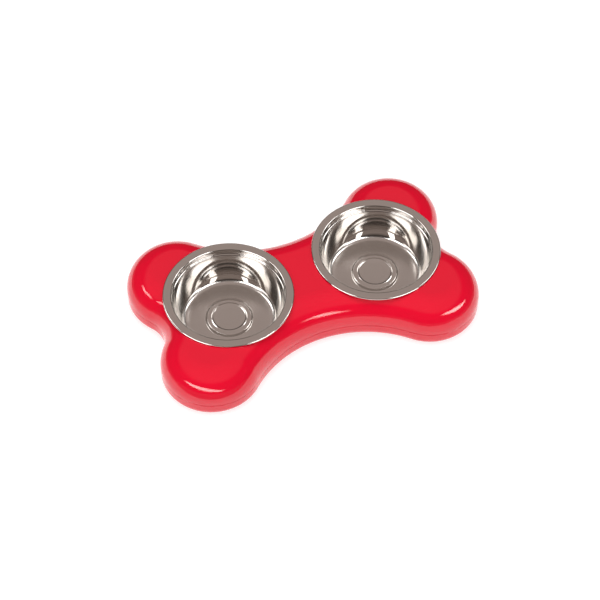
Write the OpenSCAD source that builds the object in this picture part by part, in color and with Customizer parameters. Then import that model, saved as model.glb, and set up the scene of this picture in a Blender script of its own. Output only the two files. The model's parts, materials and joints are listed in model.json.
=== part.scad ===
// Double pet bowl: two steel bowls that lift out of a hollow, bone-shaped plastic stand.
// The stand lies along X. Its middle is at X = Y = 0 and the feet rest on Z = 0.

/* [Stand outline] */
// Distance between the lobe centres along the stand
lobe_span_x = 232; // [226:1:248]
// Distance between the lobe centres across the stand
lobe_span_y = 102; // [96:1:112]
// Outline radius of each of the four lobes
lobe_r = 50.5; // [47:0.5:56]
// Radius of the long hollow curve on the front and the back
waist_r = 117.7; // [100:1:150]
// Radius of the short hollow curve at each end
notch_r = 33.17; // [26:1:44]

/* [Shells] */
// Height of the upper shell above the joint line
upper_h = 31.5; // [30:0.5:36]
// Height of the lower shell below the joint line
lower_h = 19; // [17:0.5:26]
// Rounding of the upper shell's edge
upper_edge_r = 29; // [20:0.5:29.5]
// Rounding of the lower shell's edge
lower_edge_r = 12; // [7:0.5:14]
// Wall thickness of both shells
shell_wall = 2.5; // [2.2:0.1:3]
// Depth of the tongue that keys the two shells together
tongue_h = 1.5; // [1.2:0.1:3]
// Play between the tongue and the lower shell
tongue_play = 0.2; // [0.1:0.05:0.3]
// Height of the shadow line under the joint
reveal_h = 0.7; // [0.4:0.1:1]
// Depth of the shadow line under the joint
reveal_d = 0.6; // [0.3:0.1:0.7]
// Thickness of the stiffening ribs
rib_t = 1.6; // [1.2:0.1:2.2]
// Height of the ribs under the upper shell's top
upper_rib_h = 9; // [5:0.5:14]
// Height of the ribs on the lower shell's floor
lower_rib_h = 6; // [4:0.5:7]

/* [Bowls] */
// Distance between the two bowl centres
bowl_spacing = 158; // [150:1:162]
// Outer diameter of the bowl's rim
rim_d = 130; // [124:1:132]
// Width of the rim from its outer edge to the neck
rim_w = 8.8; // [7.5:0.1:10]
// Height of the rim above the stand's top
rim_stand = 2; // [1.9:0.1:3]
// Depth of the bowl from the rim to the floor
bowl_depth = 40; // [32:0.5:41]
// Thickness of the steel sheet
bowl_wall = 0.7; // [0.5:0.1:0.8]
// Depth of the straight neck below the rim
neck_h = 5.8; // [4:0.1:8]
// Radius of the bulging side, seen in section
side_r = 60; // [56:1:90]
// Radius between the side and the floor
corner_r = 6; // [3:0.5:9]
// Radius of the rolled outer edge
roll_r = 1.1; // [0.9:0.05:1.1]
// Diameter of the raised disc in the floor
disc_d = 48; // [40:1:56]
// Height of the raised disc
disc_rise = 2.2; // [1:0.1:3]
// Diameter of the plain ring on the disc
ring_d = 34; // [24:1:36]
// Gap between the neck and the hole that it hangs in
hole_play = 1.1; // [0.5:0.1:1.6]

/* [Collars] */
// Wall of the collar round each hole
collar_wall = 2.5; // [2:0.1:3]
// Depth of the collar below the stand's top
collar_h = 14; // [13.5:0.5:17]

/* [Screws] */
// Diameter of the screw's shank
screw_d = 3.5; // [3:0.1:4]
// Length of the screw under its head
screw_len = 22; // [18:0.5:26]
// Diameter of the screw's head
head_d = 7.2; // [6.4:0.1:8]
// Height of the screw's head
head_h = 2.4; // [2:0.1:3]
// Outer diameter of the post that the screw cuts into
post_d = 9; // [8:0.1:10]
// Thickness of plastic between the head and the joint line
clamp_h = 11; // [9:0.5:12]

/* [Feet] */
// Diameter of the rubber foot
foot_d = 24; // [18:0.5:26]
// Height of the foot below the lower shell
foot_stand = 2; // [1.5:0.1:4]
// Depth of the foot's recess in the lower shell
foot_recess = 1.6; // [1:0.1:2.4]

/* [Hidden] */
$fn = 64;

// One overrun for every cut
overrun = 1;

// Places of the outline's arcs
lobe_x = lobe_span_x / 2;
lobe_y = lobe_span_y / 2;
waist_y = lobe_y + sqrt(pow(lobe_r + waist_r, 2) - pow(lobe_x, 2));
notch_x = lobe_x + sqrt(pow(lobe_r + notch_r, 2) - pow(lobe_y, 2));
waist_half = waist_y - waist_r;

// Levels
joint_z = foot_stand + lower_h;
top_z = joint_z + upper_h;
rim_z = top_z + rim_stand;
seat_z = rim_z - bowl_wall;

// Tongue and groove
tongue_inset = (shell_wall + tongue_play) / 2;

// Bowl section
bowl_x = bowl_spacing / 2;
rim_r = rim_d / 2;
neck_r = rim_r - rim_w;
rim_bend_share = 2;
bead_bend_share = 1.5;
rim_corner_r = bowl_wall * rim_bend_share;
bead_r = bowl_wall * bead_bend_share;
half_turn = 180;
bead_turn = 70;
side_top_r = neck_r - 2 * bead_r * (1 - cos(bead_turn));
side_x = side_top_r - side_r;
side_z = -neck_h - 2 * bead_r * sin(bead_turn);
corner_z = corner_r - bowl_depth;
corner_x = side_x + sqrt(pow(side_r - corner_r, 2) - pow(side_z - corner_z, 2));
side_angle = atan2(side_z - corner_z, corner_x - side_x);
disc_r = disc_d / 2;
ring_r = ring_d / 2;
ring_w_share = 2;
ring_h_share = 0.5;
ring_w = bowl_wall * ring_w_share;
ring_h = bowl_wall * ring_h_share;
disc_slope = disc_rise;
roll_to = -30;

// Straight steps in each curve of the bowl's section
corner_steps = 8;
side_steps = 14;
bead_steps = 4;
rim_steps = 6;
roll_steps = 10;

// Hole and collar
hole_r = neck_r + bowl_wall + hole_play;
collar_r = hole_r + collar_wall;
collar_foot_z = top_z - collar_h;

// Ribs on the floor run in steps round each bowl
lower_rib_step = 45;
rib_ring_share = 0.62;
rib_ring_r = hole_r * rib_ring_share;

// Screws: posts in the lobes and at the waist
screw_play = 0.25;
thread_play = 0.05;
screw_r = screw_d / 2;
head_r = head_d / 2;
post_r = post_d / 2;
well_play = 0.5;
well_r = head_r + well_play;
tower_wall_share = 0.5;
tower_r = well_r + shell_wall * tower_wall_share;
head_z = joint_z - clamp_h;
lobe_screw_in_share = 0.2;
lobe_screw_out_share = 0.26;
screw_x = lobe_x - lobe_r * lobe_screw_in_share;
screw_y = lobe_y + lobe_r * lobe_screw_out_share;
waist_screw_share = 0.6;
waist_screw_y = waist_half * waist_screw_share;
cross_w_share = 0.25;
cross_l_share = 0.6;
cross_h_share = 0.6;
cross_w = screw_d * cross_w_share;
cross_l = head_d * cross_l_share;
cross_h = head_h * cross_h_share;
tip_h = screw_r;

// Rib under the top from each collar to its screw post
post_angle = atan2(screw_y, screw_x - bowl_x);
post_rib_l = norm([screw_x - bowl_x, screw_y]) - hole_r - collar_wall / 2;

// Feet
foot_play = 0.15;
foot_r = foot_d / 2;
foot_bevel_share = 0.5;
foot_bevel = foot_stand * foot_bevel_share;
foot_out_share = 0.2;
foot_x = lobe_x + lobe_r * foot_out_share;
foot_y = lobe_y;
foot_pad_r = foot_r + shell_wall;
floor_top_z = foot_stand + shell_wall;
pad_top_z = foot_stand + foot_recess + shell_wall;
stem_share = 0.22;
stem_r = foot_r * stem_share;
barb_share = 1.5;
barb_r = stem_r * barb_share;
barb_h = stem_r;
barb_play = 0.5;

// Colours
plastic_red = [0.86, 0.09, 0.15];
plastic_dark = [0.74, 0.06, 0.12];
steel = [0.72, 0.71, 0.69];
rubber = [0.16, 0.16, 0.17];
screw_steel = [0.6, 0.6, 0.62];

// Section of a lobe from its axis out, with the upper corner rounded
module lobe_section(r, h, edge) {
    difference() {
        square([r, h]);
        if (edge > 0)
            difference() {
                translate([r - edge, h - edge]) square(edge + overrun);
                translate([r - edge, h - edge]) circle(edge);
            }
    }
}

// Section of a hollow curve's cutter, from the curve's own axis: it flares at the edge
module hollow_section(r, h, edge) {
    difference() {
        translate([0, -overrun]) square([r + edge, h + 2 * overrun]);
        if (edge > 0) {
            translate([r, -2 * overrun]) square([edge + overrun, h - edge + 2 * overrun]);
            translate([r + edge, h - edge]) circle(edge);
        }
    }
}

// Outline through the centres of the eight arcs: each side is where two arcs meet
module arc_centres() {
    polygon([
        [lobe_x, lobe_y],
        [0, waist_y],
        [-lobe_x, lobe_y],
        [-notch_x, 0],
        [-lobe_x, -lobe_y],
        [0, -waist_y],
        [lobe_x, -lobe_y],
        [notch_x, 0]
    ]);
}

// Middle of the bone, with the four hollow curves cut out of it
module bone_middle(inset, h, edge) {
    difference() {
        linear_extrude(h) arc_centres();
        for (side = [-1, 1]) {
            translate([0, side * waist_y]) rotate_extrude()
                hollow_section(waist_r + inset, h, edge);
            translate([side * notch_x, 0]) rotate_extrude()
                hollow_section(notch_r + inset, h, edge);
        }
    }
}

// The four lobes, left whole: what reaches into the middle lies inside it
module bone_lobes(inset, h, edge) {
    for (sx = [-1, 1], sy = [-1, 1])
        translate([sx * lobe_x, sy * lobe_y]) rotate_extrude()
            lobe_section(lobe_r - inset, h, edge);
}

// Filled bone from Z = 0 up to h. Every level is the outline drawn in alike, so its arcs
// keep their centres and stay tangent, and the rounded edge is a true round all the way.
module bone_form(inset, h, edge) {
    bone_middle(inset, h, edge);
    bone_lobes(inset, h, edge);
}

// What fills the space inside the upper shell's middle skin, to trim ribs and posts
module upper_inside() {
    translate([0, 0, joint_z])
        bone_form(shell_wall / 2, upper_h - shell_wall / 2, upper_edge_r - shell_wall / 2);
}

module lower_inside() {
    translate([0, 0, joint_z - reveal_h - tongue_h]) mirror([0, 0, 1])
        bone_form(shell_wall / 2, lower_h - reveal_h - tongue_h - shell_wall / 2,
            lower_edge_r - shell_wall / 2);
}

module at_bowls() {
    for (side = [-1, 1])
        translate([side * bowl_x, 0, 0]) children();
}

module at_lobe_screws() {
    for (sx = [-1, 1], sy = [-1, 1])
        translate([sx * screw_x, sy * screw_y, 0]) children();
}

module at_waist_screws() {
    for (sy = [-1, 1])
        translate([0, sy * waist_screw_y, 0]) children();
}

module at_screws() {
    at_lobe_screws() children();
    at_waist_screws() children();
}

module at_feet() {
    for (sx = [-1, 1], sy = [-1, 1])
        translate([sx * foot_x, sy * foot_y, 0]) children();
}

// Posts under the top that the screws cut into
module upper_posts() {
    at_screws() translate([0, 0, joint_z]) cylinder(r = post_r, h = upper_h);
}

// Ribs under the top: a cross between the bowls, and one from each collar to each post
module upper_ribs() {
    rib_z = top_z - shell_wall - upper_rib_h;
    rib_up = upper_rib_h + shell_wall;
    translate([-bowl_x + hole_r, -rib_t / 2, rib_z])
        cube([bowl_spacing - 2 * hole_r, rib_t, rib_up]);
    translate([-rib_t / 2, -waist_half, rib_z]) cube([rib_t, 2 * waist_half, rib_up]);
    for (mx = [0, 1], my = [0, 1])
        mirror([mx, 0, 0]) mirror([0, my, 0]) translate([bowl_x, 0, rib_z])
            rotate([0, 0, post_angle]) translate([hole_r + collar_wall / 2, -rib_t / 2, 0])
                cube([post_rib_l, rib_t, rib_up]);
}

module upper_shell() {
    color(plastic_red)
    difference() {
        union() {
            difference() {
                union() {
                    translate([0, 0, joint_z]) bone_form(0, upper_h, upper_edge_r);
                    translate([0, 0, joint_z - tongue_h])
                        bone_form(tongue_inset, tongue_h + overrun, 0);
                }
                translate([0, 0, joint_z - tongue_h - overrun])
                    bone_form(shell_wall, upper_h + tongue_h + overrun - shell_wall,
                        upper_edge_r - shell_wall);
            }
            intersection() {
                union() {
                    upper_posts();
                    upper_ribs();
                }
                upper_inside();
            }
            at_bowls() translate([0, 0, collar_foot_z])
                cylinder(r = collar_r, h = seat_z - collar_foot_z);
        }
        at_bowls() translate([0, 0, collar_foot_z - overrun])
            cylinder(r = hole_r, h = seat_z - collar_foot_z + 2 * overrun);
        at_screws() translate([0, 0, joint_z - overrun])
            cylinder(r = screw_r + thread_play, h = screw_len - clamp_h + 2 * overrun);
    }
}

// Ribs on the floor: a ring under each bowl with spokes, and a spine between the bowls
module lower_ribs() {
    rib_up = shell_wall / 2 + lower_rib_h;
    rib_z = floor_top_z - shell_wall / 2;
    at_bowls() translate([0, 0, rib_z]) {
        difference() {
            cylinder(r = rib_ring_r + rib_t / 2, h = rib_up);
            translate([0, 0, -overrun])
                cylinder(r = rib_ring_r - rib_t / 2, h = rib_up + 2 * overrun);
        }
        for (a = [0 : lower_rib_step : 360 - lower_rib_step])
            rotate([0, 0, a]) translate([rib_ring_r, -rib_t / 2, 0])
                cube([bowl_x - rib_ring_r, rib_t, rib_up]);
    }
    translate([-rib_t / 2, -waist_half, rib_z]) cube([rib_t, 2 * waist_half, rib_up]);
}

module lower_shell() {
    color(plastic_dark)
    difference() {
        union() {
            difference() {
                translate([0, 0, joint_z]) mirror([0, 0, 1])
                    bone_form(0, lower_h, lower_edge_r);
                translate([0, 0, joint_z + overrun]) mirror([0, 0, 1])
                    bone_form(shell_wall, lower_h + overrun - shell_wall,
                        lower_edge_r - shell_wall);
                translate([0, 0, joint_z - tongue_h - tongue_play])
                    bone_form(tongue_inset - tongue_play,
                        tongue_h + tongue_play + overrun, 0);
            }
            intersection() {
                lower_ribs();
                lower_inside();
            }
            at_screws() translate([0, 0, foot_stand + overrun])
                cylinder(r = tower_r, h = joint_z - foot_stand - overrun);
            at_feet() translate([0, 0, foot_stand])
                cylinder(r = foot_pad_r, h = pad_top_z - foot_stand);
        }
        translate([0, 0, joint_z - reveal_h]) difference() {
            bone_form(-overrun, reveal_h + overrun, 0);
            translate([0, 0, -overrun])
                bone_form(reveal_d, reveal_h + 3 * overrun, 0);
        }
        at_screws() translate([0, 0, foot_stand - overrun]) {
            cylinder(r = well_r, h = head_z - foot_stand + overrun);
            cylinder(r = screw_r + screw_play, h = lower_h + 2 * overrun);
        }
        at_feet() translate([0, 0, foot_stand - overrun]) {
            cylinder(r = foot_r + foot_play, h = foot_recess + overrun);
            cylinder(r = stem_r + foot_play, h = pad_top_z);
        }
        at_feet() translate([0, 0, pad_top_z]) cylinder(r = barb_r + barb_play, h = lower_h);
    }
}

// Points of an arc with the direction in which the sheet's thickness lies: out is 1 where
// the centre is on the bowl's inner side, and -1 where it is on the outer side
function arc_points(cx, cz, r, from, to, steps, out) = [
    for (i = [0 : steps])
        let (a = from + (to - from) * i / steps)
            [[cx + r * cos(a), cz + r * sin(a)], [out * cos(a), out * sin(a)]]
];

// Inner face of the bowl, from the middle of the floor to the end of the rolled edge
bowl_path = concat(
    [
        [[0, disc_rise - bowl_depth], [0, -1]],
        [[ring_r - ring_w, disc_rise - bowl_depth], [0, -1]],
        [[ring_r - ring_w / 2, disc_rise + ring_h - bowl_depth], [0, -1]],
        [[ring_r + ring_w / 2, disc_rise + ring_h - bowl_depth], [0, -1]],
        [[ring_r + ring_w, disc_rise - bowl_depth], [0, -1]],
        [[disc_r - disc_slope, disc_rise - bowl_depth], [0, -1]],
        [[disc_r, -bowl_depth], [0, -1]]
    ],
    arc_points(corner_x, corner_z, corner_r, -half_turn / 2, -side_angle, corner_steps, 1),
    arc_points(side_x, side_z, side_r, -side_angle, 0, side_steps, 1),
    arc_points(side_top_r + bead_r, side_z, bead_r, half_turn, half_turn - bead_turn,
        bead_steps, -1),
    arc_points(neck_r - bead_r, -neck_h, bead_r, -bead_turn, 0, bead_steps, 1),
    arc_points(neck_r + rim_corner_r, -rim_corner_r, rim_corner_r, half_turn, half_turn / 2,
        rim_steps, -1),
    arc_points(rim_r - roll_r, -roll_r, roll_r, half_turn / 2, roll_to, roll_steps, -1)
);

bowl_outline = concat(
    [for (p = bowl_path) p[0]],
    [for (i = [len(bowl_path) - 1 : -1 : 0]) bowl_path[i][0] + bowl_wall * bowl_path[i][1]]
);

module bowl() {
    color(steel)
    translate([0, 0, rim_z]) rotate_extrude() polygon(bowl_outline);
}

module foot() {
    color(rubber)
    rotate_extrude() polygon([
        [0, 0],
        [foot_r - foot_bevel, 0],
        [foot_r, foot_bevel],
        [foot_r, foot_stand + foot_recess],
        [stem_r, foot_stand + foot_recess],
        [stem_r, pad_top_z],
        [barb_r, pad_top_z],
        [stem_r, pad_top_z + barb_h],
        [0, pad_top_z + barb_h]
    ]);
}

module screw() {
    color(screw_steel)
    difference() {
        translate([0, 0, head_z]) rotate_extrude() polygon([
            [0, -head_h],
            [head_r - head_h / 2, -head_h],
            [head_r, -head_h / 2],
            [head_r, 0],
            [screw_r, 0],
            [screw_r, screw_len - tip_h],
            [0, screw_len]
        ]);
        for (turn = [0, 90])
            translate([0, 0, head_z - head_h - overrun]) rotate([0, 0, turn])
                translate([-cross_l / 2, -cross_w / 2, 0])
                    cube([cross_l, cross_w, cross_h + overrun]);
    }
}

upper_shell();
lower_shell();
translate([-bowl_x, 0, 0]) bowl();  // bowl_left
translate([bowl_x, 0, 0]) bowl();  // bowl_right
translate([-foot_x, -foot_y, 0]) foot();  // foot_left_front
translate([-foot_x, foot_y, 0]) foot();  // foot_left_back
translate([foot_x, -foot_y, 0]) foot();  // foot_right_front
translate([foot_x, foot_y, 0]) foot();  // foot_right_back
translate([-screw_x, -screw_y, 0]) screw();  // screw_left_front
translate([-screw_x, screw_y, 0]) screw();  // screw_left_back
translate([screw_x, -screw_y, 0]) screw();  // screw_right_front
translate([screw_x, screw_y, 0]) screw();  // screw_right_back
translate([0, -waist_screw_y, 0]) screw();  // screw_middle_front
translate([0, waist_screw_y, 0]) screw();  // screw_middle_back
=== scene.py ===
"""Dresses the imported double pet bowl: moulded shells, spun bowls, feet and screws."""

import json
import math

import bmesh
import bpy
import numpy as np
from bpy.props import (
    FloatProperty,
    FloatVectorProperty,
    IntProperty,
    PointerProperty,
)
from mathutils import Matrix, Vector

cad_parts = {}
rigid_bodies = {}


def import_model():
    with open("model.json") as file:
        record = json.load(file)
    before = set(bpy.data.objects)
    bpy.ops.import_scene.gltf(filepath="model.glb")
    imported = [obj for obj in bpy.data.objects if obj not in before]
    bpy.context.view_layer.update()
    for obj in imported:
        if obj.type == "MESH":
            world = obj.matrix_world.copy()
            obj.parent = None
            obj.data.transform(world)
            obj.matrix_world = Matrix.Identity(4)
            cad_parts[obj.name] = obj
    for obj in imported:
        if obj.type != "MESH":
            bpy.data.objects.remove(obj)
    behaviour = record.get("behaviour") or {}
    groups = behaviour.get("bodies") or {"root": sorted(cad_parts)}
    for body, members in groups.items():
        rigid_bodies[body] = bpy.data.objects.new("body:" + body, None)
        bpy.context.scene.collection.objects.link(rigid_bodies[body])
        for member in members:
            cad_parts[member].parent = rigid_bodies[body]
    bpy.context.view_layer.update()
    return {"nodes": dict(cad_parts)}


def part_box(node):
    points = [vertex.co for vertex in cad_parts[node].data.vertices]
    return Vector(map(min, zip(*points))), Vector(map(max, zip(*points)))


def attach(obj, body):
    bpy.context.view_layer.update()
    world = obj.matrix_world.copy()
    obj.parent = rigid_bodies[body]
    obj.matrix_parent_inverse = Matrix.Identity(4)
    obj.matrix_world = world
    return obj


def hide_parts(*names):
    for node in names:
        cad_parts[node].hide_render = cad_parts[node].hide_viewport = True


bl_info = {
    "name": "Bone Pet Bowl Stand",
    "version": (1, 0, 0),
    "blender": (4, 5, 0),
    "location": "View3D > Sidebar > Pet Bowl",
    "description": "Builds the shells, bowls, feet and screws of a double pet bowl",
    "category": "Object",
}

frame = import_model()

FEET = (
    "foot_left_front",
    "foot_left_back",
    "foot_right_front",
    "foot_right_back",
)
SCREWS = (
    "screw_left_front",
    "screw_left_back",
    "screw_right_front",
    "screw_right_back",
    "screw_middle_front",
    "screw_middle_back",
)

# The bowls' steel is polished above the first height and satin below the second
POLISHED_ABOVE = 0.0175
SATIN_BELOW = 0.0165
# How much rougher the satin floor is than the polished side
SATIN_ROUGHNESS = 0.18

# Closer points are one: in a copied or spun mesh, in a finished one and in a section
MERGE_REACH = 1e-6
FINE_REACH = 1e-7
SECTION_REACH = 2e-6
# How far a corner may lie off the exact wall, crease and skin and still count as on it
WALL_MARGIN = 4e-5
CREASE_MARGIN = 1e-4
SKIN_MARGIN = 6e-5
# Least cosine between a face's own normal and the exact one
NORMALS_AGREE = 0.93

FLOOR_HALF = 6.0
# How much the paper's brightness changes from place to place
PAPER_UNEVEN = 0.01
# Upward parts of a view direction where the walls end and the ceiling begins
WALLS_END = 0.6
CEILING_STARTS = 0.72
# What the lamps look at, and how far off they stand
LIT_MIDDLE = Vector((0.0, 0.0, 0.04))
SOFT_LAMP_DISTANCE = 1.6
PANEL_DISTANCE = 1.4
# A streak lamp's height as a share of its width: at a row's ends, and more in its middle
STREAK_SLIM = 0.25
STREAK_SWELL = 0.3


def node_middle(node):
    """Middle of a CAD node's box."""
    low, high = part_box(node)
    return (low + high) / 2


# Sizes and colours


class ShellSettings(bpy.types.PropertyGroup):
    lobe_x: FloatProperty(
        name="Lobe X",
        description="Distance of each lobe's centre from the middle, along the stand",
        default=0.116,
        unit="LENGTH",
    )
    lobe_y: FloatProperty(
        name="Lobe Y",
        description="Distance of each lobe's centre from the middle, across the stand",
        default=0.051,
        unit="LENGTH",
    )
    lobe_r: FloatProperty(
        name="Lobe radius",
        description="Outline radius of each lobe",
        default=0.0505,
        unit="LENGTH",
    )
    waist_r: FloatProperty(
        name="Waist radius",
        description="Radius of the long hollow curves on the front and the back",
        default=0.1177,
        unit="LENGTH",
    )
    notch_r: FloatProperty(
        name="Notch radius",
        description="Radius of the short hollow curves at the ends",
        default=0.03317,
        unit="LENGTH",
    )
    upper_edge: FloatProperty(
        name="Upper rounding",
        description="Rounding of the upper shell's edge",
        default=0.029,
        unit="LENGTH",
    )
    lower_edge: FloatProperty(
        name="Lower rounding",
        description="Rounding of the lower shell's edge",
        default=0.012,
        unit="LENGTH",
    )
    top_z: FloatProperty(
        name="Top height",
        description="Height of the stand's flat top",
        default=0.0525,
        unit="LENGTH",
    )
    bottom_z: FloatProperty(
        name="Bottom height",
        description="Height of the stand's flat bottom",
        default=0.002,
        unit="LENGTH",
    )
    plastic: FloatVectorProperty(
        name="Plastic",
        description="Colour of the moulded plastic",
        default=(0.73, 0.003, 0.026),
        size=3,
        subtype="COLOR",
        min=0.0,
        max=1.0,
    )
    roughness: FloatProperty(
        name="Plastic roughness",
        description="Blur of what the plastic reflects under its gloss",
        default=0.3,
        subtype="FACTOR",
        min=0.0,
        max=1.0,
    )


class BowlSettings(bpy.types.PropertyGroup):
    turn_steps: IntProperty(
        name="Turn steps",
        description="Faces round each bowl",
        default=288,
        min=24,
    )
    rim_r: FloatProperty(
        name="Rim radius",
        description="Outer radius of the rim",
        default=0.065,
        unit="LENGTH",
    )
    rim_w: FloatProperty(
        name="Rim width",
        description="Width of the rim from its outer edge to the neck",
        default=0.0088,
        unit="LENGTH",
    )
    sheet: FloatProperty(
        name="Sheet",
        description="Thickness of the steel sheet",
        default=0.0007,
        unit="LENGTH",
    )
    depth: FloatProperty(
        name="Depth",
        description="Depth from the rim to the floor",
        default=0.04,
        unit="LENGTH",
    )
    neck_h: FloatProperty(
        name="Neck",
        description="Height of the straight neck under the rim",
        default=0.0058,
        unit="LENGTH",
    )
    side_r: FloatProperty(
        name="Side radius",
        description="Radius of the bulging side, seen in section",
        default=0.06,
        unit="LENGTH",
    )
    corner_r: FloatProperty(
        name="Corner radius",
        description="Radius between the side and the floor",
        default=0.006,
        unit="LENGTH",
    )
    roll_r: FloatProperty(
        name="Roll radius",
        description="Radius of the rolled outer edge",
        default=0.0011,
        unit="LENGTH",
    )
    disc_r: FloatProperty(
        name="Disc radius",
        description="Radius of the raised disc in the floor",
        default=0.024,
        unit="LENGTH",
    )
    disc_rise: FloatProperty(
        name="Disc rise",
        description="Height of the raised disc",
        default=0.0022,
        unit="LENGTH",
    )
    ring_r: FloatProperty(
        name="Ring radius",
        description="Radius of the plain ring on the disc",
        default=0.017,
        unit="LENGTH",
    )
    steel: FloatVectorProperty(
        name="Steel",
        description="Colour of the polished steel",
        default=(0.62, 0.595, 0.57),
        size=3,
        subtype="COLOR",
        min=0.0,
        max=1.0,
    )
    roughness: FloatProperty(
        name="Steel roughness",
        description="Blur of what the polished side reflects",
        default=0.035,
        subtype="FACTOR",
        min=0.0,
        max=1.0,
    )


class SmallPartSettings(bpy.types.PropertyGroup):
    rubber: FloatVectorProperty(
        name="Rubber",
        description="Colour of the feet",
        default=(0.022, 0.022, 0.024),
        size=3,
        subtype="COLOR",
        min=0.0,
        max=1.0,
    )
    zinc: FloatVectorProperty(
        name="Zinc",
        description="Colour of the screws' plating",
        default=(0.56, 0.57, 0.6),
        size=3,
        subtype="COLOR",
        min=0.0,
        max=1.0,
    )


class StageSettings(bpy.types.PropertyGroup):
    lens: FloatProperty(
        name="Lens",
        description="Focal length of the camera in millimetres",
        default=116.96,
    )
    elevation: FloatProperty(
        name="Elevation",
        description="Height of the camera above the horizon",
        default=math.radians(52.1),
        subtype="ANGLE",
    )
    azimuth: FloatProperty(
        name="Azimuth",
        description="Turn of the camera round the object",
        default=math.radians(-21.923),
        subtype="ANGLE",
    )
    roll: FloatProperty(
        name="Roll",
        description="Tilt of the camera about its own view",
        default=math.radians(0.298),
        subtype="ANGLE",
    )
    distance: FloatProperty(
        name="Distance",
        description="Distance from the camera to the middle between the bowls",
        default=1.93785,
        unit="LENGTH",
    )
    aim: FloatVectorProperty(
        name="Aim",
        description="Where the middle between the bowls lies in the view",
        default=(0.002851, 0.029214),
        size=2,
        unit="LENGTH",
    )
    ceiling: FloatVectorProperty(
        name="Ceiling",
        description="Colour of the studio above the object",
        default=(0.465, 0.385, 0.355),
        size=3,
        subtype="COLOR",
        min=0.0,
        max=1.0,
    )
    walls: FloatVectorProperty(
        name="Walls",
        description="Colour of the dim studio round the object",
        default=(0.10, 0.085, 0.078),
        size=3,
        subtype="COLOR",
        min=0.0,
        max=1.0,
    )
    paper: FloatProperty(
        name="Paper",
        description="Brightness of the floor's paper",
        default=0.8,
        min=0.0,
        max=1.0,
    )
    paper_seen: FloatProperty(
        name="Paper seen",
        description="Brightness of the paper behind its glow, where the camera sees it",
        default=0.5,
        min=0.0,
        max=1.0,
    )
    paper_far: FloatProperty(
        name="Paper far off",
        description="Brightness of the paper in reflections, away from the lit sheet",
        default=0.3,
        min=0.0,
        max=1.0,
    )
    paper_glow: FloatProperty(
        name="Paper glow",
        description="How much whiter the floor looks than its lit colour",
        default=0.72,
    )
    sheet_half: FloatProperty(
        name="Sheet half width",
        description="Half width of the lit sheet, across the view",
        default=0.34,
        unit="LENGTH",
    )
    sheet_near: FloatProperty(
        name="Sheet near edge",
        description="How far the lit sheet reaches from the middle towards the camera",
        default=0.2,
        unit="LENGTH",
    )
    overhead: FloatProperty(
        name="Overhead",
        description="Radiance of the softbox above",
        default=2.2,
    )
    fills: FloatProperty(
        name="Fills",
        description="Radiance of the two lamps that brighten the sides",
        default=1.7,
    )
    panels: FloatProperty(
        name="Panels",
        description="Radiance of the side panels that the steel shows",
        default=5.0,
    )
    streaks: FloatProperty(
        name="Streaks",
        description="Radiance of the small lamps that the plastic shows as streaks",
        default=8.5,
    )
    streak_reach: FloatProperty(
        name="Streak lamp distance",
        description="Distance from the plastic to the small lamps",
        default=0.14,
        unit="LENGTH",
    )
    streak_half: FloatProperty(
        name="Streak half angle",
        description="Half the angle that each small lamp fills, seen from the plastic",
        default=math.radians(7),
        subtype="ANGLE",
    )


# Tools for materials


def add(tree, kind, place=(0, 0), **values):
    """One node, with its settings and unlinked inputs."""
    node = tree.nodes.new(kind)
    node.location = place
    for key, value in values.items():
        if key in node.inputs:
            node.inputs[key].default_value = value
        else:
            setattr(node, key, value)
    return node


def link(tree, source, target):
    """One link between two sockets."""
    tree.links.new(source, target)


def math_node(tree, operation, first, second=None, place=(0, 0)):
    """One Math node. Numbers are set and sockets are linked."""
    node = add(tree, "ShaderNodeMath", place, operation=operation)
    for index, value in enumerate((first, second)):
        if value is None:
            continue
        if isinstance(value, bpy.types.NodeSocket):
            link(tree, value, node.inputs[index])
        else:
            node.inputs[index].default_value = value
    return node.outputs[0]


def new_group(name, inputs, outputs, kind_of_tree="ShaderNodeTree", ends=(-900, 700)):
    """A node tree with named sockets: inputs hold (name, type, default)."""
    group = bpy.data.node_groups.new(name, kind_of_tree)
    for label, kind, default in inputs:
        socket = group.interface.new_socket(label, in_out="INPUT", socket_type=kind)
        if default is not None:
            socket.default_value = default
    for label, kind in outputs:
        group.interface.new_socket(label, in_out="OUTPUT", socket_type=kind)
    return (
        group,
        add(group, "NodeGroupInput", (ends[0], 0)),
        add(group, "NodeGroupOutput", (ends[1], 0)),
    )


def use_group(tree, group, place=(0, 0), **values):
    """One placed copy of a group, with its own values."""
    node = add(tree, "ShaderNodeGroup", place)
    node.node_tree = group
    for key, value in values.items():
        node.inputs[key.replace("_", " ")].default_value = value
    return node


def handling_marks_group():
    """Faint smears and fine scratches, as a change of roughness and a height."""
    group, start, end = new_group(
        "handling_marks",
        [
            ("Vector", "NodeSocketVector", None),
            ("Roughness", "NodeSocketFloat", 0.2),
            ("Smear", "NodeSocketFloat", 0.03),
            ("Smear Scale", "NodeSocketFloat", 18.0),
            ("Grain Scale", "NodeSocketFloat", 900.0),
        ],
        [("Roughness", "NodeSocketFloat"), ("Height", "NodeSocketFloat")],
    )
    smear = add(group, "ShaderNodeTexNoise", (-600, 200), Detail=4.0, Roughness=0.55)
    grain = add(group, "ShaderNodeTexNoise", (-600, -200), Detail=2.0, Roughness=0.6)
    for texture, scale in ((smear, "Smear Scale"), (grain, "Grain Scale")):
        link(group, start.outputs["Vector"], texture.inputs["Vector"])
        link(group, start.outputs[scale], texture.inputs["Scale"])
    centred = math_node(group, "SUBTRACT", smear.outputs["Fac"], 0.5, (-350, 200))
    spread = math_node(group, "MULTIPLY", centred, start.outputs["Smear"], (-150, 200))
    doubled = math_node(group, "MULTIPLY", spread, 2.0, (50, 200))
    rough = math_node(group, "ADD", doubled, start.outputs["Roughness"], (250, 200))
    link(group, rough, end.inputs["Roughness"])
    link(group, grain.outputs["Fac"], end.inputs["Height"])
    return group


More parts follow.
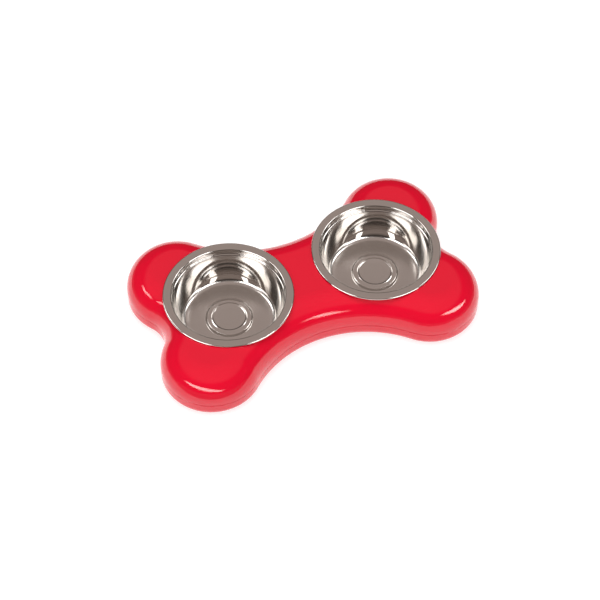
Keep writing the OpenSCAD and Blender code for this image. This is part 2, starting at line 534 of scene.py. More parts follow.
def spun_lines_group():
    """Fine turned lines round a vertical axis at plus and minus Offset along X."""
    group, start, end = new_group(
        "spun_lines",
        [
            ("Vector", "NodeSocketVector", None),
            ("Offset", "NodeSocketFloat", 0.079),
            ("Lines", "NodeSocketFloat", 2600.0),
        ],
        [("Height", "NodeSocketFloat"), ("Band", "NodeSocketFloat")],
    )
    split = add(group, "ShaderNodeSeparateXYZ", (-700, 0))
    link(group, start.outputs["Vector"], split.inputs[0])
    side = math_node(group, "ABSOLUTE", split.outputs["X"], None, (-500, 100))
    across = math_node(group, "SUBTRACT", side, start.outputs["Offset"], (-350, 100))
    across_2 = math_node(group, "MULTIPLY", across, across, (-200, 100))
    along = split.outputs["Y"]
    along_2 = math_node(group, "MULTIPLY", along, along, (-350, -50))
    sum_2 = math_node(group, "ADD", across_2, along_2, (-50, 50))
    radius = math_node(group, "SQRT", sum_2, None, (80, 50))
    section = add(group, "ShaderNodeCombineXYZ", (80, -120))
    link(group, radius, section.inputs["X"])
    link(group, split.outputs["Z"], section.inputs["Z"])
    fine = add(group, "ShaderNodeTexNoise", (260, 100), Detail=3.0, Roughness=0.7)
    broad = add(group, "ShaderNodeTexNoise", (260, -160), Scale=170.0, Detail=3.0)
    link(group, section.outputs[0], fine.inputs["Vector"])
    link(group, section.outputs[0], broad.inputs["Vector"])
    link(group, start.outputs["Lines"], fine.inputs["Scale"])
    link(group, fine.outputs["Fac"], end.inputs["Height"])
    link(group, broad.outputs["Fac"], end.inputs["Band"])
    return group


def shared_group(name, maker):
    """A group that is built once and then used again."""
    return bpy.data.node_groups.get(name) or maker()


def new_material(name):
    """An empty material with its output and Principled shader."""
    material = bpy.data.materials.new(name)
    material.use_nodes = True
    tree = material.node_tree
    tree.nodes.clear()
    output = add(tree, "ShaderNodeOutputMaterial", (600, 0))
    shader = add(tree, "ShaderNodeBsdfPrincipled", (300, 0))
    link(tree, shader.outputs[0], output.inputs["Surface"])
    where = add(tree, "ShaderNodeTexCoord", (-900, 0))
    return material, tree, shader, where


def mixed_colour(tree, factor, dark, light, place=(0, 0)):
    """A colour between two, by a mask."""
    mix = add(tree, "ShaderNodeMix", place, data_type="RGBA")
    for socket in mix.inputs:
        if socket.type == "RGBA":
            socket.default_value = (*(dark if socket.name == "A" else light), 1.0)
    link(tree, factor, mix.inputs["Factor"])
    return next(s for s in mix.outputs if s.type == "RGBA")


def shaded(colour, share):
    return tuple(channel * share for channel in colour)


def add_marks(tree, where, place, **values):
    """The handling marks of one material, with its own values."""
    group = shared_group("handling_marks", handling_marks_group)
    marks = use_group(tree, group, place, **values)
    link(tree, where.outputs["Object"], marks.inputs["Vector"])
    return marks


def add_tone(tree, where, shader, colour, shares, **noise):
    """Lets the colour change over the surface between two shares of itself."""
    tone = add(tree, "ShaderNodeTexNoise", (-500, 250), **noise)
    link(tree, where.outputs["Object"], tone.inputs["Vector"])
    dark, light = (shaded(colour, share) for share in shares)
    colours = mixed_colour(tree, tone.outputs["Fac"], dark, light, (-100, 250))
    link(tree, colours, shader.inputs["Base Color"])


def add_bump(tree, height, shader, strength, distance):
    bump = add(tree, "ShaderNodeBump", (50, -250), Strength=strength, Distance=distance)
    link(tree, height, bump.inputs["Height"])
    link(tree, bump.outputs[0], shader.inputs["Normal"])


def plastic_material(name, colour, roughness):
    """Glossy moulded plastic with a faint change of tone and a few soft smears."""
    material, tree, shader, where = new_material(name)
    marks = add_marks(
        tree,
        where,
        (-500, -100),
        Roughness=roughness,
        Smear=0.035,
        Smear_Scale=16.0,
        Grain_Scale=1400.0,
    )
    add_tone(tree, where, shader, colour, (0.96, 1.04), Scale=9.0, Detail=3.0)
    link(tree, marks.outputs["Roughness"], shader.inputs["Roughness"])
    add_bump(tree, marks.outputs["Height"], shader, 0.05, 0.00003)
    shader.inputs["Specular IOR Level"].default_value = 0.0
    shader.inputs["Coat Weight"].default_value = 1.0
    shader.inputs["Coat Roughness"].default_value = 0.05
    return material


def steel_material(name, colour, roughness, offset):
    """Polished stainless steel with fine turned lines and a satin floor."""
    material, tree, shader, where = new_material(name)
    lines = use_group(
        tree,
        shared_group("spun_lines", spun_lines_group),
        (-600, 0),
        Offset=offset,
        Lines=2400.0,
    )
    link(tree, where.outputs["Object"], lines.inputs["Vector"])
    marks = add_marks(
        tree,
        where,
        (-600, -300),
        Roughness=roughness,
        Smear=0.05,
        Smear_Scale=22.0,
        Grain_Scale=700.0,
    )
    split = add(tree, "ShaderNodeSeparateXYZ", (-600, 300))
    link(tree, where.outputs["Object"], split.inputs[0])
    floor_mask = add(tree, "ShaderNodeMapRange", (-350, 300))
    link(tree, split.outputs["Z"], floor_mask.inputs["Value"])
    floor_mask.inputs["From Min"].default_value = POLISHED_ABOVE
    floor_mask.inputs["From Max"].default_value = SATIN_BELOW
    colours = mixed_colour(
        tree, lines.outputs["Band"], shaded(colour, 0.9), shaded(colour, 1.06), (0, 300)
    )
    link(tree, colours, shader.inputs["Base Color"])
    satin = math_node(
        tree, "MULTIPLY", floor_mask.outputs[0], SATIN_ROUGHNESS, (-100, -100)
    )
    rough = math_node(tree, "ADD", satin, marks.outputs["Roughness"], (60, -100))
    link(tree, rough, shader.inputs["Roughness"])
    add_bump(tree, lines.outputs["Height"], shader, 0.12, 0.00004)
    shader.inputs["Metallic"].default_value = 1.0
    return material


def rubber_material(name, colour):
    """Matt rubber with a fine moulded grain and a little dust."""
    material, tree, shader, where = new_material(name)
    marks = add_marks(
        tree,
        where,
        (-500, -100),
        Roughness=0.72,
        Smear=0.12,
        Smear_Scale=60.0,
        Grain_Scale=2600.0,
    )
    add_tone(tree, where, shader, colour, (0.8, 1.7), Scale=320.0, Detail=5.0)
    link(tree, marks.outputs["Roughness"], shader.inputs["Roughness"])
    add_bump(tree, marks.outputs["Height"], shader, 0.3, 0.0001)
    return material


def zinc_material(name, colour):
    """Zinc plating: bright metal with uneven tone."""
    material, tree, shader, where = new_material(name)
    marks = add_marks(
        tree,
        where,
        (-500, -100),
        Roughness=0.3,
        Smear=0.1,
        Smear_Scale=260.0,
        Grain_Scale=3000.0,
    )
    add_tone(tree, where, shader, colour, (0.85, 1.1), Scale=420.0, Detail=3.0)
    link(tree, marks.outputs["Roughness"], shader.inputs["Roughness"])
    shader.inputs["Metallic"].default_value = 1.0
    return material


# Tools for meshes


def put_in_scene(name, mesh):
    piece = bpy.data.objects.new(name, mesh)
    bpy.context.scene.collection.objects.link(piece)
    return piece


def merged_copy(node, name):
    """A joined copy of a CAD node's loose triangles, as a new object at the origin."""
    mesh = frame["nodes"][node].data.copy()
    mesh.materials.clear()
    work = bmesh.new()
    work.from_mesh(mesh)
    bmesh.ops.remove_doubles(work, verts=work.verts, dist=MERGE_REACH)
    bmesh.ops.dissolve_degenerate(work, edges=work.edges, dist=FINE_REACH)
    work.to_mesh(mesh)
    work.free()
    mesh.name = name
    return put_in_scene(name, mesh)


def outline_distance(points, sizes):
    """How far points lie inside the bone outline, and the outline's outward direction."""
    signs = np.where(points < 0, -1.0, 1.0)
    p = np.abs(points)
    lobe = np.array([sizes.lobe_x, sizes.lobe_y])
    waist = np.array(
        [0.0, lobe[1] + math.sqrt((sizes.lobe_r + sizes.waist_r) ** 2 - lobe[0] ** 2)]
    )
    notch = np.array(
        [lobe[0] + math.sqrt((sizes.lobe_r + sizes.notch_r) ** 2 - lobe[1] ** 2), 0.0]
    )

    def side_of(a, b):
        return (b[0] - a[0]) * (p[:, 1] - a[1]) - (b[1] - a[1]) * (p[:, 0] - a[0])

    in_middle = (side_of(waist, lobe) < 0) | (side_of(lobe, notch) < 0)

    def away(centre):
        reach = p - centre
        length = np.linalg.norm(reach, axis=1)
        return length, reach / np.maximum(length, 1e-9)[:, None]

    lobe_l, lobe_n = away(lobe)
    waist_l, waist_n = away(waist)
    notch_l, notch_n = away(notch)
    near_waist = (waist_l - sizes.waist_r) < (notch_l - sizes.notch_r)
    inner = np.where(near_waist, waist_l - sizes.waist_r, notch_l - sizes.notch_r)
    inner_n = np.where(near_waist[:, None], -waist_n, -notch_n)
    distance = np.where(in_middle, inner, sizes.lobe_r - lobe_l)
    direction = np.where(in_middle[:, None], inner_n, lobe_n) * signs
    return distance, direction


def true_skin_normals(mesh, sizes, edge, flat_z, upward):
    """Gives the outer skin its exact normals, so that reflections run smoothly."""
    mesh.polygons.foreach_set("use_smooth", [True] * len(mesh.polygons))
    mesh.set_sharp_from_angle(angle=math.radians(28))
    corner = np.zeros(len(mesh.loops), np.int64)
    mesh.loops.foreach_get("vertex_index", corner)
    places = np.zeros(len(mesh.vertices) * 3)
    mesh.vertices.foreach_get("co", places)
    places = places.reshape(-1, 3)[corner]
    face_n = np.zeros(len(mesh.polygons) * 3)
    mesh.polygons.foreach_get("normal", face_n)
    face_n = face_n.reshape(-1, 3)
    totals = np.zeros(len(mesh.polygons), np.int64)
    mesh.polygons.foreach_get("loop_total", totals)
    face_n = np.repeat(face_n, totals, axis=0)
    inside, direction = outline_distance(places[:, :2], sizes)
    up = 1.0 if upward else -1.0
    slope = np.clip((edge - inside) / edge, 0.0, 1.0)
    rise = np.sqrt(np.clip(1.0 - slope**2, 0.0, 1.0))
    normals = np.column_stack([direction * slope[:, None], up * rise])
    skin_z = flat_z - up * edge * (1.0 - rise)
    below_round = up * (places[:, 2] - flat_z) < CREASE_MARGIN - edge
    on_wall = (np.abs(inside) < WALL_MARGIN) & below_round
    on_skin = (np.abs(places[:, 2] - skin_z) < SKIN_MARGIN) | on_wall
    agree = (normals * face_n).sum(axis=1) > NORMALS_AGREE
    chosen = np.where((on_skin & agree)[:, None], normals, 0.0)
    mesh.normals_split_custom_set(chosen.tolist())


def faces_outward(piece):
    """Merges a closed mesh's doubles and turns all its faces outward."""
    work = bmesh.new()
    work.from_mesh(piece.data)
    bmesh.ops.remove_doubles(work, verts=work.verts, dist=FINE_REACH)
    bmesh.ops.recalc_face_normals(work, faces=work.faces)
    work.to_mesh(piece.data)
    work.free()


def profile_object(name, points):
    """An open line of section points in the XZ plane, for a revolve."""
    mesh = bpy.data.meshes.new(name)
    edges = [(i, i + 1) for i in range(len(points) - 1)]
    mesh.from_pydata([(r, 0.0, z) for r, z in points], edges, [])
    return put_in_scene(name, mesh)


def geometry_tree(name, inputs, ends):
    """A tree that takes geometry, sizes and a finish, and puts out geometry."""
    shape = "NodeSocketGeometry"
    finish = ("Finish", "NodeSocketMaterial", None)
    return new_group(
        name,
        [("Geometry", shape, None), *inputs, finish],
        [("Geometry", shape)],
        "GeometryNodeTree",
        ends,
    )


def end_tree(tree, result, start, end):
    """Makes a tree's copies real, gives them the finish and puts them out."""
    real = add(tree, "GeometryNodeRealizeInstances", (end.location.x - 300, 200))
    link(tree, result, real.inputs["Geometry"])
    paint = add(tree, "GeometryNodeSetMaterial", (end.location.x - 150, 200))
    link(tree, real.outputs[0], paint.inputs["Geometry"])
    link(tree, start.outputs["Finish"], paint.inputs["Material"])
    link(tree, paint.outputs[0], end.inputs[0])
    return tree


def revolve_tree():
    """Revolves the modified object's section points round a vertical axis."""
    tree, start, end = geometry_tree(
        "revolve_section",
        [("Turn Steps", "NodeSocketInt", None), ("Axis", "NodeSocketVector", None)],
        (-1400, 1500),
    )

    def calc(operation, first, second, place):
        return math_node(tree, operation, first, second, place)

    size = add(tree, "GeometryNodeAttributeDomainSize", (-1150, 200))
    link(tree, start.outputs["Geometry"], size.inputs[0])
    columns = calc("ADD", start.outputs["Turn Steps"], 1.0, (-1150, -100))
    grid = add(tree, "GeometryNodeMeshGrid", (-900, 200))
    link(tree, size.outputs["Point Count"], grid.inputs["Vertices X"])
    link(tree, columns, grid.inputs["Vertices Y"])
    index = add(tree, "GeometryNodeInputIndex", (-1150, -300))
    share = calc("DIVIDE", index.outputs[0], columns, (-900, -200))
    row = calc("FLOOR", share, None, (-700, -200))
    first = calc("MULTIPLY", row, columns, (-700, -350))
    column = calc("SUBTRACT", index.outputs[0], first, (-500, -350))
    turned = calc("DIVIDE", column, start.outputs["Turn Steps"], (-300, -350))
    angle = calc("MULTIPLY", turned, math.tau, (-100, -350))
    place = add(tree, "GeometryNodeInputPosition", (-700, 0))
    sample = add(
        tree, "GeometryNodeSampleIndex", (-450, 0), data_type="FLOAT_VECTOR", domain="POINT"
    )
    link(tree, start.outputs["Geometry"], sample.inputs["Geometry"])
    link(tree, place.outputs[0], sample.inputs["Value"])
    link(tree, row, sample.inputs["Index"])
    split = add(tree, "ShaderNodeSeparateXYZ", (-200, 0))
    link(tree, sample.outputs[0], split.inputs[0])
    cos_a = calc("COSINE", angle, None, (100, -300))
    sin_a = calc("SINE", angle, None, (100, -450))
    x = calc("MULTIPLY", split.outputs["X"], cos_a, (300, -100))
    y = calc("MULTIPLY", split.outputs["X"], sin_a, (300, -250))
    spot = add(tree, "ShaderNodeCombineXYZ", (500, -100))
    link(tree, x, spot.inputs["X"])
    link(tree, y, spot.inputs["Y"])
    link(tree, split.outputs["Z"], spot.inputs["Z"])
    moved = add(tree, "ShaderNodeVectorMath", (700, -100), operation="ADD")
    link(tree, spot.outputs[0], moved.inputs[0])
    link(tree, start.outputs["Axis"], moved.inputs[1])
    bend = add(tree, "GeometryNodeSetPosition", (700, 200))
    link(tree, grid.outputs["Mesh"], bend.inputs["Geometry"])
    link(tree, moved.outputs[0], bend.inputs["Position"])
    merge = add(tree, "GeometryNodeMergeByDistance", (900, 200), Distance=MERGE_REACH)
    link(tree, bend.outputs[0], merge.inputs["Geometry"])
    smooth = add(tree, "GeometryNodeSetShadeSmooth", (1050, 200))
    link(tree, merge.outputs[0], smooth.inputs["Geometry"])
    return end_tree(tree, smooth.outputs[0], start, end)


def scatter_tree():
    """Puts one copy of a source object at each point of the modified object."""
    tree, start, end = geometry_tree(
        "place_copies", [("Source", "NodeSocketObject", None)], (-800, 800)
    )
    source = add(tree, "GeometryNodeObjectInfo", (-550, -150), transform_space="ORIGINAL")
    link(tree, start.outputs["Source"], source.inputs["Object"])
    copies = add(tree, "GeometryNodeInstanceOnPoints", (-150, 0))
    link(tree, start.outputs["Geometry"], copies.inputs["Points"])
    link(tree, source.outputs["Geometry"], copies.inputs["Instance"])
    return end_tree(tree, copies.outputs[0], start, end)


def run_tree(base, tree, values, name):
    """Runs a node tree on an object and returns its result as a plain mesh object."""
    modifier = base.modifiers.new(tree.name, "NODES")
    modifier.node_group = tree
    for item in tree.interface.items_tree:
        if item.in_out == "INPUT" and item.name in values:
            modifier[item.identifier] = values[item.name]
    graph = bpy.context.evaluated_depsgraph_get()
    mesh = bpy.data.meshes.new_from_object(base.evaluated_get(graph))
    base.modifiers.remove(modifier)
    bpy.data.objects.remove(base)
    mesh.name = name
    return put_in_scene(name, mesh)


def check_result(piece):
    """Stops the script when a tree made no faces."""
    if len(piece.data.polygons) == 0:
        raise RuntimeError(f"{piece.name} came out empty")


def arc(centre, radius, start, stop, steps):
    """Points of an arc in a section, angles in degrees."""
    angles = np.radians(np.linspace(start, stop, steps + 1))
    return [
        (centre[0] + radius * math.cos(a), centre[1] + radius * math.sin(a)) for a in angles
    ]


def without_repeats(points):
    kept = [points[0]]
    for point in points[1:]:
        if math.dist(point, kept[-1]) > SECTION_REACH:
            kept.append(point)
    return kept


# The pieces


class PETBOWL_OT_shells(bpy.types.Operator):
    """Dress the two moulded shells of the bone-shaped stand"""

    bl_idname = "petbowl.shells"
    bl_label = "Shells"

    def execute(self, context):
        sizes = context.scene.petbowl_shells
        plastic = plastic_material("red_gloss_plastic", sizes.plastic, sizes.roughness)
        for node, edge, flat_z, upward in (
            ("upper_shell", sizes.upper_edge, sizes.top_z, True),
            ("lower_shell", sizes.lower_edge, sizes.bottom_z, False),
        ):
            piece = merged_copy(node, node + "_moulding")
            true_skin_normals(piece.data, sizes, edge, flat_z, upward)
            piece.data.materials.append(plastic)
            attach(piece, "stand")
            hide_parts(node)
        return {"FINISHED"}


def bowl_section(sizes):
    """Points from the floor's middle over the rim and back under the floor."""
    wall = sizes.sheet
    neck = sizes.rim_r - sizes.rim_w
    bead = wall * 1.5
    turn = 70.0
    rim_bend = wall * 2.0
    side_top = neck - 2 * bead * (1 - math.cos(math.radians(turn)))
    side_x = side_top - sizes.side_r
    side_z = -sizes.neck_h - 2 * bead * math.sin(math.radians(turn))
    corner_z = sizes.corner_r - sizes.depth
    drop = side_z - corner_z
    reach = math.sqrt((sizes.side_r - sizes.corner_r) ** 2 - drop**2)
    corner_x = side_x + reach
    angle = math.degrees(math.atan2(drop, reach))
    floor = -sizes.depth
    disc = floor + sizes.disc_rise
    ring_half = wall * 2.0
    slope = sizes.disc_rise

    def both(under):
        """The inner face, or the outer face one sheet's thickness under it."""
        t = wall if under else 0.0
        line = [(0.0, disc - t), (sizes.ring_r * 0.5, disc - t)]
        for step in np.linspace(-1, 1, 17):
            swell = 0.5 * wall * math.cos(step * math.pi / 2) ** 2
            line.append((sizes.ring_r + step * ring_half, disc + swell - t))
        line.append((sizes.disc_r - slope - slope * 0.5, disc - t))
        for step in np.linspace(0, 1, 13):
            ease = 0.5 - 0.5 * math.cos(step * math.pi)
            line.append(
                (sizes.disc_r - slope + slope * step, disc - sizes.disc_rise * ease - t)
            )
        line.append((sizes.disc_r + slope, floor - t))
        line += arc((corner_x, corner_z), sizes.corner_r + t, -90, -angle, 14)
        line += arc((side_x, side_z), sizes.side_r + t, -angle, 0, 40)
        line += arc((side_top + bead, side_z), bead - t, 180, 180 - turn, 8)
        line += arc((neck - bead, -sizes.neck_h), bead + t, -turn, 0, 8)
        line += arc((neck + rim_bend, -rim_bend), rim_bend - t, 180, 90, 10)
        line += arc(
            (sizes.rim_r - sizes.roll_r, -sizes.roll_r), sizes.roll_r - t, 90, -30, 14
        )
        return without_repeats(line)

    inner, outer = both(False), both(True)
    return inner + outer[::-1]


class PETBOWL_OT_bowls(bpy.types.Operator):
    """Spin the two steel bowls from one section"""

    bl_idname = "petbowl.bowls"
    bl_label = "Bowls"

    def execute(self, context):
        sizes = context.scene.petbowl_bowls
        section = bowl_section(sizes)
        offset = node_middle("bowl_right").x
        steel = steel_material("spun_steel", sizes.steel, sizes.roughness, offset)
        tree = revolve_tree()
        for side in ("left", "right"):
            node = "bowl_" + side
            rim_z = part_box(node)[1].z
            middle = node_middle(node)
            piece = run_tree(
                profile_object("bowl_section", section),
                tree,
                {
                    "Turn Steps": sizes.turn_steps,
                    "Axis": (middle.x, middle.y, rim_z),
                    "Finish": steel,
                },
                node + "_steel",
            )
            check_result(piece)
            faces_outward(piece)
            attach(piece, side + "_bowl")
            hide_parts(node)
        return {"FINISHED"}


class PETBOWL_OT_small_parts(bpy.types.Operator):
    """Place the rubber feet and the screws of the underside"""

    bl_idname = "petbowl.small_parts"
    bl_label = "Feet and screws"

    def execute(self, context):
        sizes = context.scene.petbowl_small_parts
        rubber = rubber_material("foot_rubber_black", sizes.rubber)
        zinc = zinc_material("screw_zinc", sizes.zinc)
        tree = scatter_tree()
        for nodes, finish, slot, name in (
            (FEET, rubber, "foot_rubber", "rubber_feet"),
            (SCREWS, zinc, "screw_steel", "case_screws"),
        ):
            source = merged_copy(nodes[0], name + "_source")
            middle = node_middle(nodes[0])
            source.data.transform(Matrix.Translation(-middle))
            source.data.polygons.foreach_set(
                "use_smooth", [True] * len(source.data.polygons)
            )
            source.data.set_sharp_from_angle(angle=math.radians(30))
            points = bpy.data.meshes.new(name + "_points")
            points.from_pydata([tuple(node_middle(node)) for node in nodes], [], [])
            piece = run_tree(
                put_in_scene(name + "_points", points),
                tree,
                {"Source": source, "Finish": finish},
                name,
            )
            check_result(piece)
            bpy.data.objects.remove(source)
            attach(piece, "stand")
            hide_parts(*nodes)
        return {"FINISHED"}


# The stage


def direction(view_turn, bearing, height):
    """A direction from the object, with its bearing from the camera's side to the right."""
    turn = view_turn + math.radians(bearing)
    rise = math.radians(height)
    return Vector(
        (math.sin(turn) * math.cos(rise), -math.cos(turn) * math.cos(rise), math.sin(rise))
    )


def receivers(name, materials):
    """A collection of the pieces that have one of the materials, for light linking."""
    group = bpy.data.collections.new(name)
    for piece in bpy.context.scene.objects:
        if piece.type == "MESH" and any(m in piece.data.materials[:] for m in materials):
            group.objects.link(piece)
    return group


def lamp_at(name, place, looks_at, size, radiance, colour, lights_only=None):
    """An area lamp that the camera can't see. Size is its width and height."""
    lamp = bpy.data.lights.new(name, "AREA")
    lamp.shape = "RECTANGLE"
    lamp.size, lamp.size_y = size
    lamp.energy = radiance * math.pi * size[0] * size[1]
    lamp.color = colour
    holder = put_in_scene(name, lamp)
    holder.location = place
    away = Vector(place) - Vector(looks_at)
    holder.rotation_euler = away.to_track_quat("Z", "Y").to_euler()
    holder.visible_camera = False
    if lights_only is not None:
        holder.light_linking.receiver_collection = lights_only
    return holder


def edge_spot(shell, centre, hollow, turn, slope):
    """A point of the upper shell's rounded edge, and its normal.

    The turn goes round the arc's centre. The slope is the normal's angle from straight up.
    """
    middle_z = shell.top_z - shell.upper_edge
    swing = Vector((math.cos(turn), math.sin(turn), 0.0))
    if hollow:
        swing_r = shell.waist_r + shell.upper_edge * (1 - math.sin(slope))
    else:
        swing_r = shell.lobe_r - shell.upper_edge * (1 - math.sin(slope))
    spot = Vector((*centre, middle_z)) + swing * swing_r
    spot.z += shell.upper_edge * math.cos(slope)
    normal = swing * math.sin(slope) * (-1 if hollow else 1)
    normal.z = math.cos(slope)
    return spot, normal


def seen_directly(tree, rays, place):
    """A mask of what the camera sees, also through something clear."""
    camera, clear = rays.outputs["Is Camera Ray"], rays.outputs["Is Transmission Ray"]
    return math_node(tree, "MAXIMUM", camera, clear, place)


def camera_axes(sizes):
    """The view's right, up and back directions."""
    a, e, roll = sizes.azimuth, sizes.elevation, sizes.roll
    back = Vector((math.sin(a) * math.cos(e), -math.cos(a) * math.cos(e), math.sin(e)))
    level = Vector((math.cos(a), math.sin(a), 0.0))
    rise = back.cross(level)
    right = level * math.cos(roll) + rise * math.sin(roll)
    return right, rise * math.cos(roll) - level * math.sin(roll), back


def camera_place(sizes):
    right, up, back = camera_axes(sizes)
    target = Vector((0.0, 0.0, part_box("bowl_left")[1].z))
    return target + back * sizes.distance - right * sizes.aim[0] - up * sizes.aim[1]


class PETBOWL_OT_stage(bpy.types.Operator):
    """Set up the pale floor, the soft studio light and the camera"""

    bl_idname = "petbowl.stage"
    bl_label = "Stage"

    def execute(self, context):
        scene = context.scene
        sizes = scene.petbowl_stage
        self.make_floor(sizes)
        self.make_world(scene, sizes)
        self.make_lamps(sizes)
        self.make_streaks(scene.petbowl_shells, sizes)
        self.make_camera(scene, sizes)
        scene.view_settings.view_transform = "Standard"
        return {"FINISHED"}

    def make_floor(self, sizes):
        """Paper that the camera sees as white. Gloss shows the part of it that is lit."""
        mesh = bpy.data.meshes.new("floor")
        half = FLOOR_HALF
        mesh.from_pydata(
            [(-half, -half, 0), (half, -half, 0), (half, half, 0), (-half, half, 0)],
            [],
            [(0, 1, 2, 3)],
        )
        floor = put_in_scene("floor", mesh)
        floor.rotation_euler.z = sizes.azimuth
        material, tree, shader, where = new_material("floor_paper")
        rays = add(tree, "ShaderNodeLightPath", (-900, -300))
        seen = seen_directly(tree, rays, (-650, -300))
        glossy = rays.outputs["Is Glossy Ray"]
        split = add(tree, "ShaderNodeSeparateXYZ", (-700, 200))
        link(tree, where.outputs["Object"], split.inputs[0])
        wide = math_node(tree, "ABSOLUTE", split.outputs["X"], None, (-500, 250))
        in_width = math_node(tree, "LESS_THAN", wide, sizes.sheet_half, (-350, 250))
        in_depth = math_node(
            tree, "GREATER_THAN", split.outputs["Y"], -sizes.sheet_near, (-350, 100)
        )
        on_sheet = math_node(tree, "MULTIPLY", in_width, in_depth, (-200, 200))
        off_sheet = math_node(tree, "SUBTRACT", 1.0, on_sheet, (-50, 200))
        fibres = add(tree, "ShaderNodeTexNoise", (-700, 450), Scale=3.0, Detail=2.0)
        link(tree, where.outputs["Object"], fibres.inputs["Vector"])
        uneven = math_node(
            tree, "MULTIPLY", fibres.outputs["Fac"], PAPER_UNEVEN, (-500, 450)
        )
        full = math_node(tree, "ADD", uneven, sizes.paper - PAPER_UNEVEN / 2, (-350, 450))
        far_off = math_node(tree, "MULTIPLY", glossy, off_sheet, (-50, 50))
        for share, loss in (
            (seen, sizes.paper - sizes.paper_seen),
            (far_off, sizes.paper - sizes.paper_far),
        ):
            dimmed = math_node(tree, "MULTIPLY", share, loss, (100, 300))
            full = math_node(tree, "SUBTRACT", full, dimmed, (200, 400))
        link(tree, full, shader.inputs["Base Color"])
        shader.inputs["Roughness"].default_value = 0.9
        shader.inputs["Specular IOR Level"].default_value = 0.1
        shader.inputs["Emission Color"].default_value = (1.0, 1.0, 1.0, 1.0)
        lit = math_node(tree, "MULTIPLY", glossy, on_sheet, (-50, -200))
        glowing = math_node(tree, "MAXIMUM", seen, lit, (100, -250))
        glow = math_node(tree, "MULTIPLY", glowing, sizes.paper_glow, (200, -300))
        link(tree, glow, shader.inputs["Emission Strength"])
        mesh.materials.append(material)

    def make_world(self, scene, sizes):
        """Dim walls and a brighter ceiling. The camera sees white instead."""
        world = bpy.data.worlds.new("studio")
        scene.world = world
        world.use_nodes = True
        tree = world.node_tree
        tree.nodes.clear()
        output = add(tree, "ShaderNodeOutputWorld", (600, 0))
        room = add(tree, "ShaderNodeBackground", (100, 0), Strength=1.0)
        white = add(tree, "ShaderNodeBackground", (100, -150), Strength=1.0)
        white.inputs["Color"].default_value = (1.0, 1.0, 1.0, 1.0)
        where = add(tree, "ShaderNodeTexCoord", (-700, 0))
        split = add(tree, "ShaderNodeSeparateXYZ", (-500, 0))
        link(tree, where.outputs["Generated"], split.inputs[0])
        ramp = add(tree, "ShaderNodeValToRGB", (-250, 0))
        link(tree, split.outputs["Z"], ramp.inputs["Fac"])
        points = ramp.color_ramp.elements
        points[0].position, points[0].color = WALLS_END, (*sizes.walls, 1.0)
        points[1].position, points[1].color = CEILING_STARTS, (*sizes.ceiling, 1.0)
        link(tree, ramp.outputs["Color"], room.inputs["Color"])
        rays = add(tree, "ShaderNodeLightPath", (-250, -300))
        seen = seen_directly(tree, rays, (100, -300))
        mix = add(tree, "ShaderNodeMixShader", (350, 0))
        link(tree, seen, mix.inputs["Fac"])
        link(tree, room.outputs[0], mix.inputs[1])
        link(tree, white.outputs[0], mix.inputs[2])
        link(tree, mix.outputs[0], output.inputs["Surface"])

    def make_lamps(self, sizes):
        """A softbox above, two fills, and panels on each side that only the steel shows."""
        white = (1.0, 1.0, 1.0)
        turn = sizes.azimuth
        steel = receivers("steel_pieces", [bpy.data.materials["spun_steel"]])
        # Each lamp's bearing and height in degrees, its size and its radiance
        for name, bearing, height, size, radiance in (
            ("overhead_softbox", -20, 78, (1.7, 1.7), sizes.overhead),
            ("left_fill", -55, 18, (1.7, 1.1), sizes.fills),
            ("right_fill", 55, 18, (1.7, 1.1), sizes.fills),
        ):
            place = direction(turn, bearing, height) * SOFT_LAMP_DISTANCE
            lamp = lamp_at(name, place, LIT_MIDDLE, size, radiance, white)
            lamp.visible_glossy = False
        # Each panel's bearing and height in degrees, and its size
        for name, bearing, height, size in (
            ("left_panel", -50, 33, (0.9, 0.75)),
            ("right_panel", 50, 33, (0.9, 0.75)),
            ("left_strip", -117, 48, (0.35, 0.6)),
            ("right_strip", 117, 48, (0.35, 0.6)),
        ):
            place = direction(turn, bearing, height) * PANEL_DISTANCE
            lamp_at(name, place, LIT_MIDDLE, size, sizes.panels, white, steel)

    def make_streaks(self, shell, sizes):
        """Rows of small lamps that the plastic's rounded edge mirrors to the camera."""
        warm = (1.0, 0.96, 0.9)
        plastic = receivers("plastic_pieces", [bpy.data.materials["red_gloss_plastic"]])
        waist_y = shell.lobe_y + math.sqrt(
            (shell.lobe_r + shell.waist_r) ** 2 - shell.lobe_x**2
        )
        eye = camera_place(sizes)
        # Each row's arc centre, turn and slope at both ends in degrees, and lamps
        for name, centre, turns, slopes, lamps in (
            ("left_front", (-shell.lobe_x, -shell.lobe_y), (-139, -101), (50, 58), 6),
            ("right_front", (shell.lobe_x, -shell.lobe_y), (-92, -64), (47, 46), 5),
            ("left_back", (-shell.lobe_x, shell.lobe_y), (-164, -153), (36, 38), 2),
            ("waist", (0.0, -waist_y), (91, 85), (52, 55), 2),
        ):
            for number in range(lamps):
                share = number / (lamps - 1)
                turn = math.radians(turns[0] + (turns[1] - turns[0]) * share)
                slope = math.radians(slopes[0] + (slopes[1] - slopes[0]) * share)
                spot, normal = edge_spot(shell, centre, name == "waist", turn, slope)
                back = (eye - spot).normalized()
                way = normal * (2 * normal.dot(back)) - back
                reach, narrow = sizes.streak_reach, 2 * sizes.streak_half
                wide = 2 * reach * math.tan(narrow)
                tall = wide * (STREAK_SLIM + STREAK_SWELL * math.sin(math.pi * share))
                lamp = lamp_at(
                    f"{name}_streak_{number}",
                    spot + way * reach,
                    spot,
                    (wide, tall),
                    sizes.streaks,
                    warm,
                    plastic,
                )
                lamp.data.shape = "ELLIPSE"
                lamp.data.spread = 2 * narrow
                # A narrow lamp keeps its power, so its radiance is brought back here
                lamp.data.energy *= 1 - narrow / math.tan(narrow)
                lamp.visible_diffuse = False

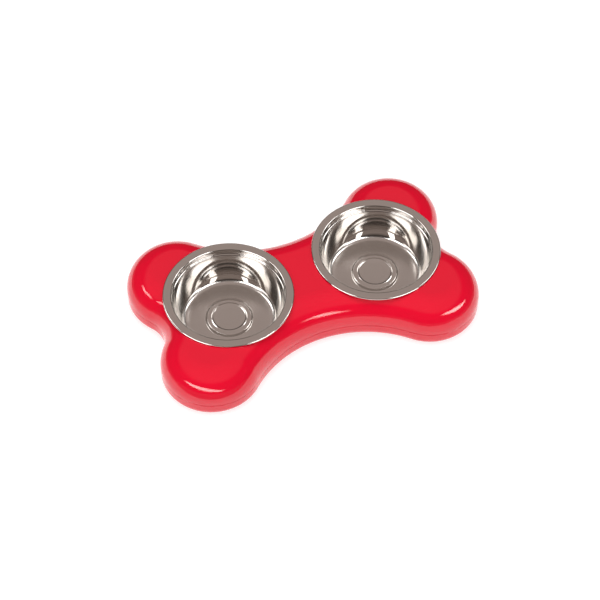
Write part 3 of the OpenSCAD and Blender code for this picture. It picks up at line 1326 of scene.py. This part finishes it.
    def make_camera(self, scene, sizes):
        data = bpy.data.cameras.new("camera")
        camera = put_in_scene("camera", data)
        data.lens = sizes.lens
        data.sensor_width = 36.0
        data.clip_start, data.clip_end = 0.05, 50.0
        turn = Matrix(camera_axes(sizes)).transposed().to_4x4()
        camera.matrix_world = Matrix.Translation(camera_place(sizes)) @ turn
        scene.camera = camera


class PETBOWL_PT_sidebar(bpy.types.Panel):
    """Lists the steps that build the pet bowl stand"""

    bl_idname = "PETBOWL_PT_sidebar"
    bl_label = "Pet Bowl"
    bl_space_type = "VIEW_3D"
    bl_region_type = "UI"
    bl_category = "Pet Bowl"

    def draw(self, context):
        layout = self.layout
        scene = context.scene
        for settings, operator in (
            (scene.petbowl_shells, PETBOWL_OT_shells),
            (scene.petbowl_bowls, PETBOWL_OT_bowls),
            (scene.petbowl_small_parts, PETBOWL_OT_small_parts),
            (scene.petbowl_stage, PETBOWL_OT_stage),
        ):
            box = layout.box()
            for name in settings.bl_rna.properties.keys():
                if name not in ("rna_type", "name"):
                    box.prop(settings, name)
            box.operator(operator.bl_idname)


SETTINGS = (
    ("petbowl_shells", ShellSettings),
    ("petbowl_bowls", BowlSettings),
    ("petbowl_small_parts", SmallPartSettings),
    ("petbowl_stage", StageSettings),
)
OPERATORS = (
    PETBOWL_OT_shells,
    PETBOWL_OT_bowls,
    PETBOWL_OT_small_parts,
    PETBOWL_OT_stage,
)


def register():
    for name, group in SETTINGS:
        bpy.utils.register_class(group)
        setattr(bpy.types.Scene, name, PointerProperty(type=group))
    for operator in OPERATORS:
        bpy.utils.register_class(operator)
    bpy.utils.register_class(PETBOWL_PT_sidebar)


def unregister():
    bpy.utils.unregister_class(PETBOWL_PT_sidebar)
    for operator in reversed(OPERATORS):
        bpy.utils.unregister_class(operator)
    for name, group in reversed(SETTINGS):
        delattr(bpy.types.Scene, name)
        bpy.utils.unregister_class(group)


def main():
    register()
    for step in (
        bpy.ops.petbowl.shells,
        bpy.ops.petbowl.bowls,
        bpy.ops.petbowl.small_parts,
        bpy.ops.petbowl.stage,
    ):
        if step() != {"FINISHED"}:
            raise RuntimeError("a step of the pet bowl stand didn't finish")


if __name__ == "__main__":
    main()
